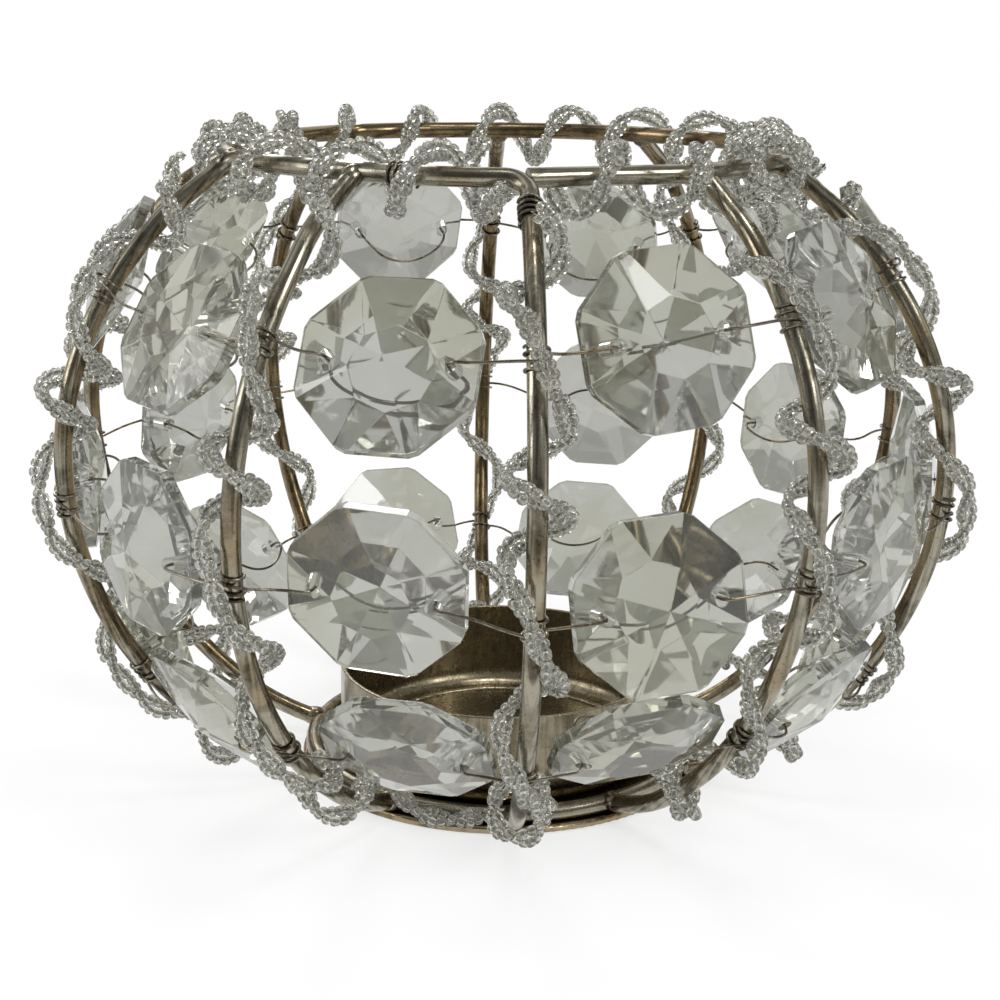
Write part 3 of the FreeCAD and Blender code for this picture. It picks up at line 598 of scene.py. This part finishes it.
def aged_metal_group():
    """Pale skin, rubbed gold, an inner side mixed towards gold, then all brown over it.

    brown = patches + streaks + a quarter of the specks, at most 1. Roughness is the
    bare metal's, plus shares of brown and of the fine noise. Height is grain less brown.
    """
    tree = bpy.data.node_groups.new("aged_metal", "ShaderNodeTree")
    for name in ("Pale", "Brown", "Gold"):
        tree.interface.new_socket(name, in_out="INPUT", socket_type="NodeSocketColor")
    for name in ("Patches", "Browning", "Inner", "Streaks"):
        tree.interface.new_socket(name, in_out="INPUT", socket_type="NodeSocketFloat")
    tree.interface.new_socket("Grain", in_out="INPUT", socket_type="NodeSocketVector")
    tree.interface.new_socket("Color", in_out="OUTPUT", socket_type="NodeSocketColor")
    for name in ("Roughness", "Height"):
        tree.interface.new_socket(name, in_out="OUTPUT", socket_type="NodeSocketFloat")
    given = add_node(tree, "NodeGroupInput").outputs
    result = add_node(tree, "NodeGroupOutput").inputs
    place = add_node(tree, "ShaderNodeTexCoord")
    spot = place.outputs["Object"]

    inner = calc(tree, "MULTIPLY", inward_side(tree, place), given["Inner"])
    wide = add_node(tree, "ShaderNodeTexNoise", in_Detail=PATCH_DETAIL,
                    in_Roughness=PATCH_ROUGHNESS)
    tree.links.new(spot, wide.inputs["Vector"])
    tree.links.new(given["Patches"], wide.inputs["Scale"])
    patch = ramp(tree, wide.outputs["Fac"], *PATCH_EDGE)
    patch = calc(tree, "MULTIPLY", patch, given["Browning"])
    streak = ramp(tree, noise(tree, given["Grain"], STREAK_SPOTS, 2.0), *STREAK_EDGE)
    streak = calc(tree, "MULTIPLY", streak, given["Streaks"])
    fine = noise(tree, spot, SPECK_SPOTS, 2.0)
    speck = calc(tree, "MULTIPLY", ramp(tree, fine, *SPECK_EDGE), SPECK_SHARE)
    brown = calc(tree, "ADD", calc(tree, "ADD", patch, streak), speck)
    brown = calc(tree, "MINIMUM", brown, 1.0)

    rub = ramp(tree, noise(tree, spot, RUB_SPOTS, 2.0), *RUB_EDGE)
    rub = calc(tree, "MULTIPLY", rub, RUB_SHARE)
    color = mix_color(tree, rub, given["Pale"], given["Gold"])
    inner = calc(tree, "MULTIPLY", inner, INNER_SHARE)
    color = mix_color(tree, inner, color, given["Gold"])
    tree.links.new(mix_color(tree, brown, color, given["Brown"]), result["Color"])

    rough = calc(tree, "MULTIPLY", brown, BROWN_ROUGHNESS)
    rough = calc(tree, "ADD", BARE_ROUGHNESS, rough)
    rough = calc(tree, "ADD", rough, calc(tree, "MULTIPLY", fine, SPECK_ROUGHNESS))
    tree.links.new(rough, result["Roughness"])
    sunk = calc(tree, "MULTIPLY", brown, BROWN_HEIGHT)
    height = calc(tree, "SUBTRACT", noise(tree, spot, HEIGHT_SPOTS, 3.0), sunk)
    tree.links.new(height, result["Height"])
    return tree


AGED_METAL = aged_metal_group()
print("group", AGED_METAL.name, "with", len(AGED_METAL.nodes), "nodes")

# %% [markdown]
# Drawing a rod through a die leaves fine lines along it, and so does rolling the sheet
# of the cup. Coordinates that change quickly across the metal and slowly along it turn
# plain noise into such lines. Brown skin is duller than bare metal, so the roughness
# rises with it, and the bump is small, because the rods still shine.

# %% Metal materials
ALONG_THE_GRAIN = 0.05


def drawn_grain(tree, along_globe):
    """Coordinates whose noise runs in lines: round the globe's middle, or upright.

    On a rod bent to the globe every line of its skin keeps one distance r from the
    globe's middle C: grain = (r, r, r) + P/20, with r = |P - C|. On upright sheet the
    lines are upright: grain = (x, y, z/20).
    """
    place = add_node(tree, "ShaderNodeTexCoord")
    across = ALONG_THE_GRAIN if along_globe else 1.0
    slow = add_node(tree, "ShaderNodeVectorMath", operation="MULTIPLY",
                    in_1=(across, across, ALONG_THE_GRAIN))
    tree.links.new(place.outputs["Object"], slow.inputs[0])
    if not along_globe:
        return slow.outputs[0]
    spoke = add_node(tree, "ShaderNodeVectorMath", operation="DISTANCE",
                     in_1=(0.0, 0.0, WIDEST_HEIGHT * MM))
    tree.links.new(place.outputs["Object"], spoke.inputs[0])
    total = add_node(tree, "ShaderNodeVectorMath", operation="ADD")
    tree.links.new(slow.outputs[0], total.inputs[0])
    tree.links.new(spoke.outputs["Value"], total.inputs[1])
    return total.outputs[0]


def metal_material(name, pale, brown, gold, patches, browning, inner, streaks, depth,
                   along_globe=False):
    """A material of aged metal: the group feeds colour, roughness and bump."""
    material = bpy.data.materials.new(name)
    material.use_nodes = True
    tree = material.node_tree
    shader = tree.nodes["Principled BSDF"]
    shader.inputs["Metallic"].default_value = 1.0
    group = add_node(tree, "ShaderNodeGroup", node_tree=AGED_METAL, in_Pale=pale,
                     in_Brown=brown, in_Gold=gold, in_Patches=patches,
                     in_Browning=browning, in_Inner=inner, in_Streaks=streaks)
    tree.links.new(drawn_grain(tree, along_globe), group.inputs["Grain"])
    bump = add_node(tree, "ShaderNodeBump", in_Strength=0.35, in_Distance=depth)
    tree.links.new(group.outputs["Color"], shader.inputs["Base Color"])
    tree.links.new(group.outputs["Roughness"], shader.inputs["Roughness"])
    tree.links.new(group.outputs["Height"], bump.inputs["Height"])
    tree.links.new(bump.outputs["Normal"], shader.inputs["Normal"])
    return material


ROD_METAL = metal_material(
    "antique_champagne_rod", pale=(0.36, 0.335, 0.26, 1), brown=(0.036, 0.029, 0.017, 1),
    gold=(0.26, 0.18, 0.09, 1), patches=240.0, browning=0.4, inner=1.0, streaks=0.46,
    depth=0.00003, along_globe=True)
CUP_METAL = metal_material(
    "dark_brass_cup", pale=(0.27, 0.235, 0.168, 1), brown=(0.11, 0.09, 0.058, 1),
    gold=(0.37, 0.315, 0.215, 1), patches=420.0, browning=0.4, inner=1.0, streaks=0.35,
    depth=0.00003)
PLATE_METAL = metal_material(
    "brass_base_plate", pale=(0.38, 0.31, 0.20, 1), brown=(0.08, 0.055, 0.03, 1),
    gold=(0.38, 0.27, 0.13, 1), patches=120.0, browning=0.8, inner=0.6, streaks=0.0,
    depth=0.00008)
WIRE_METAL = metal_material(
    "dull_binding_wire", pale=(0.24, 0.215, 0.17, 1), brown=(0.06, 0.048, 0.034, 1),
    gold=(0.26, 0.20, 0.11, 1), patches=320.0, browning=0.9, inner=0.3, streaks=0.0,
    depth=0.00005)
print("four metals")

# %% [markdown]
# The crystals are pressed glass with polished facets: clear, slightly grey in the
# thick middle, with faces that aren't quite flat, so that what is seen through them
# is broken and bent. Years of handling have rounded their edges a little, and a thin
# film of dust scatters part of the light. The beads are the same glass, each a touch
# clearer or milkier than its neighbour, which is read from a value stored on every bead.

# %% Glass materials
TINT_SPOTS, TINT_EDGE = 45.0, (0.4, 0.6)


def glass_material(name, clear, milky, passing, rough, ior, waves, wave_depth,
                   worn_edge=0.0, from_shade=False):
    """Clear glass whose tint wanders between two colours and whose faces wave.

    The share of light not passing is scattered, as a film of dust does. The faces have
    a number of waves per metre, and worn_edge is the radius in metres to which
    handling has rounded the edges. from_shade reads the tint stored on every bead.
    """
    material = bpy.data.materials.new(name)
    material.use_nodes = True
    tree = material.node_tree
    shader = tree.nodes["Principled BSDF"]
    shader.inputs["Transmission Weight"].default_value = passing
    shader.inputs["Metallic"].default_value = 0.0
    shader.inputs["IOR"].default_value = ior
    shader.inputs["Roughness"].default_value = rough
    spot = add_node(tree, "ShaderNodeTexCoord").outputs["Object"]
    if from_shade:
        share = add_node(tree, "ShaderNodeAttribute", attribute_name="shade").outputs["Fac"]
    else:
        share = ramp(tree, noise(tree, spot, TINT_SPOTS, 1.0), *TINT_EDGE)
    tree.links.new(mix_color(tree, share, clear, milky), shader.inputs["Base Color"])
    bump = add_node(tree, "ShaderNodeBump", in_Strength=0.5, in_Distance=wave_depth)
    if worn_edge:
        edge = add_node(tree, "ShaderNodeBevel", samples=4, in_Radius=worn_edge)
        tree.links.new(edge.outputs[0], bump.inputs["Normal"])
    tree.links.new(noise(tree, spot, waves, 1.0), bump.inputs["Height"])
    tree.links.new(bump.outputs["Normal"], shader.inputs["Normal"])
    return material


CRYSTAL_GLASS = glass_material(
    "cut_crystal", clear=(0.49, 0.497, 0.456, 1), milky=(0.44, 0.443, 0.367, 1),
    passing=0.93, rough=0.03, ior=1.53, waves=130.0, wave_depth=0.00006, worn_edge=0.00018)
BEAD_GLASS = glass_material(
    "clear_seed_bead", clear=(0.64, 0.64, 0.585, 1), milky=(0.45, 0.447, 0.40, 1),
    passing=0.88, rough=0.07, ior=1.45, waves=900.0, wave_depth=0.00005, from_shade=True)
print("two glasses")

# %% [markdown]
# Every node of the engineering model keeps its shape and gets one of these finishes
# by its slot. The glass casts no shadow here: real glass lets its light through, and
# a shadow as dark as metal's would be wrong.

# %% Give every shown piece its finish
SLOT_FINISH = {"rod": ROD_METAL, "cup": CUP_METAL, "wire": WIRE_METAL,
               "crystal": CRYSTAL_GLASS, "bead": BEAD_GLASS}
slots = {part["node"]: part["material_slot"] for part in frame["record"]["subparts"]}
glass_pieces = list(bead_pieces)
for name, node in nodes.items():
    finish = PLATE_METAL if name == "base_plate" else SLOT_FINISH[slots[name]]
    if not node.material_slots:
        node.data.materials.append(finish)
    for place in node.material_slots:
        place.material = finish
    if slots[name] == "crystal":
        glass_pieces.append(node)
for piece in bead_pieces:
    piece.data.materials.append(BEAD_GLASS)
threads.data.materials.append(WIRE_METAL)
welds.data.materials.append(ROD_METAL)
for piece in glass_pieces:
    piece.visible_shadow = False
    piece.visible_diffuse = False
print(len(glass_pieces), "pieces of glass")

# %% [markdown]
# The studio is a pale floor under a white surround. The floor glows plain white to the
# camera, in a reflection and through glass, so that it has no edge. Near the holder
# that glow is only a share of its colour, and the rest is a matt surface that takes the
# holder's shadow.

# %% Floor
FLOOR_SIDE = 6000.0
FLOOR_DROP = 0.05
FLOOR_LEVEL = 0.9
FLOOR_WHITE_SHARE = 0.62
FLOOR_FADE = (0.09, 0.32)


def seen_directly(tree):
    """1 for rays from the camera, in a reflection or through glass, else 0."""
    path = add_node(tree, "ShaderNodeLightPath")
    shown = calc(tree, "ADD", path.outputs["Is Camera Ray"], path.outputs["Is Glossy Ray"])
    return calc(tree, "MINIMUM", calc(tree, "ADD", shown, path.outputs["Is Transmission Ray"]), 1.0)


corners = np.array([(-1, -1, 0), (1, -1, 0), (1, 1, 0), (-1, 1, 0)]) * FLOOR_SIDE / 2
floor = store_mesh("floor", corners - (0, 0, FLOOR_DROP), [np.array([[0, 1, 2, 3]])], smooth=False)
floor_paint = bpy.data.materials.new("pale_floor")
floor_paint.use_nodes = True
tree = floor_paint.node_tree
paint = tree.nodes["Principled BSDF"]
paint.inputs["Base Color"].default_value = grey(FLOOR_LEVEL)
paint.inputs["Roughness"].default_value = 1.0
paint.inputs["Specular IOR Level"].default_value = 0.0
glow = add_node(tree, "ShaderNodeEmission", in_Color=grey(1), in_Strength=1.0)
blend = add_node(tree, "ShaderNodeMixShader")
place = add_node(tree, "ShaderNodeTexCoord")
reach = add_node(tree, "ShaderNodeVectorMath", operation="LENGTH")
tree.links.new(place.outputs["Object"], reach.inputs[0])
far = ramp(tree, reach.outputs["Value"], *FLOOR_FADE, FLOOR_WHITE_SHARE, 1.0)
share = calc(tree, "MULTIPLY", seen_directly(tree), far)
tree.links.new(share, blend.inputs[0])
tree.links.new(paint.outputs[0], blend.inputs[1])
tree.links.new(glow.outputs[0], blend.inputs[2])
tree.links.new(blend.outputs[0], tree.nodes["Material Output"].inputs["Surface"])
floor.data.materials.append(floor_paint)
print("floor", FLOOR_SIDE, "mm across")

# %% [markdown]
# Polished metal and glass show what stands round them. A bare white surround would
# leave them flat, so mirrored and refracted rays see soft grey cards instead, as a
# photographer sets them, and darker on the side of the camera where a room would be.
# Rays that have gone through glass see the cards paler, which keeps the crystals as
# even as clear glass on white looks. The camera itself sees plain white, and a duller
# level lights the matt surfaces.

# %% Surround with grey cards
DIFFUSE_LEVEL = 0.62
CARD_SPOTS, CARD_EDGE = 1.9, (0.44, 0.56)
CARD_GREY, CARD_BLUE_SHARE = 0.2, 0.94
ROOM_GREY, ROOM_EDGE = 0.3, (-0.55, 0.1)
GLASS_VIEW, GLASS_SHARE = 0.78, 0.7
world = bpy.data.worlds.new("studio")
bpy.context.scene.world = world
world.use_nodes = True
tree = world.node_tree
tree.nodes.clear()
direction = add_node(tree, "ShaderNodeTexCoord").outputs["Generated"]
card = ramp(tree, noise(tree, direction, CARD_SPOTS, 1.0), *CARD_EDGE)
card = mix_color(tree, card, (CARD_GREY, CARD_GREY, CARD_GREY * CARD_BLUE_SHARE, 1), grey(1))
axes = add_node(tree, "ShaderNodeSeparateXYZ")
tree.links.new(direction, axes.inputs[0])
behind_holder = ramp(tree, axes.outputs["Y"], *ROOM_EDGE)
room = mix_color(tree, 1.0, card, grey(ROOM_GREY), "MULTIPLY")
card = mix_color(tree, behind_holder, room, card)
path = add_node(tree, "ShaderNodeLightPath").outputs
lift = calc(tree, "MULTIPLY", path["Is Transmission Ray"], GLASS_SHARE)
card = mix_color(tree, lift, card, grey(GLASS_VIEW))
bent = calc(tree, "ADD", path["Is Glossy Ray"], path["Is Transmission Ray"])
color = mix_color(tree, calc(tree, "MINIMUM", bent, 1.0), grey(DIFFUSE_LEVEL), card)
color = mix_color(tree, path["Is Camera Ray"], color, grey(1))
background = add_node(tree, "ShaderNodeBackground", in_Strength=1.0)
output = add_node(tree, "ShaderNodeOutputWorld")
tree.links.new(color, background.inputs["Color"])
tree.links.new(background.outputs[0], output.inputs["Surface"])
bpy.context.scene.view_settings.view_transform = "Standard"
print("surround ready")

# %% [markdown]
# Four soft lamps stand round the holder: the key at the right front and above, a fill
# at the left, one behind for the rims and a small one overhead. They draw the narrow
# bright lines along the rods and the sparks in the glass. They are weak, because the
# surround already gives most of the light and a pale bead would burn out.

# %% Lamps
LAMPS = (  # name, place in mm, side in mm, watts
    ("key_right", (420, -380, 480), 260, 1.6),
    ("fill_left", (-520, -160, 260), 300, 1.0),
    ("rim_back", (-180, 520, 420), 260, 1.4),
    ("small_top", (60, -120, 620), 120, 0.5),
)


def soft_lamp(name, place, side, watts):
    """A square lamp at a place in mm, turned to the middle of the globe."""
    lamp = bpy.data.lights.new(name, "AREA")
    lamp.shape = "SQUARE"
    lamp.size = side * MM
    lamp.energy = watts
    holder = bpy.data.objects.new(name, lamp)
    bpy.context.scene.collection.objects.link(holder)
    holder.location = Vector(place) * MM
    aim = Vector((0, 0, WIDEST_HEIGHT)) * MM - holder.location
    holder.rotation_euler = aim.to_track_quat("-Z", "Y").to_euler()


for lamp in LAMPS:
    soft_lamp(*lamp)
print(len(LAMPS), "lamps")

# %% [markdown]
# The photograph looks slightly down on the holder from close by. Its camera was found
# by matching the rods' places in the picture to their sizes, and so was the small
# turn of the picture about its own middle.

# %% Camera
CAMERA_PLACE = (-1.137, -276.433, 118.802)
CAMERA_TARGET = (-0.562, -0.233, 42.086)
CAMERA_LENS = 65.754
CAMERA_ROLL = 0.0114
view = bpy.data.cameras.new("photo_view")
view.lens = CAMERA_LENS
view.sensor_width = 36.0
view.clip_start = 0.01
camera = bpy.data.objects.new("photo_view", view)
bpy.context.scene.collection.objects.link(camera)
camera.location = Vector(CAMERA_PLACE) * MM
camera.rotation_mode = "QUATERNION"
aim = (Vector(CAMERA_TARGET) - Vector(CAMERA_PLACE)).to_track_quat("-Z", "Y")
camera.rotation_quaternion = aim @ Quaternion((0, 0, 1), CAMERA_ROLL)
bpy.context.scene.camera = camera
print("camera at", CAMERA_PLACE)
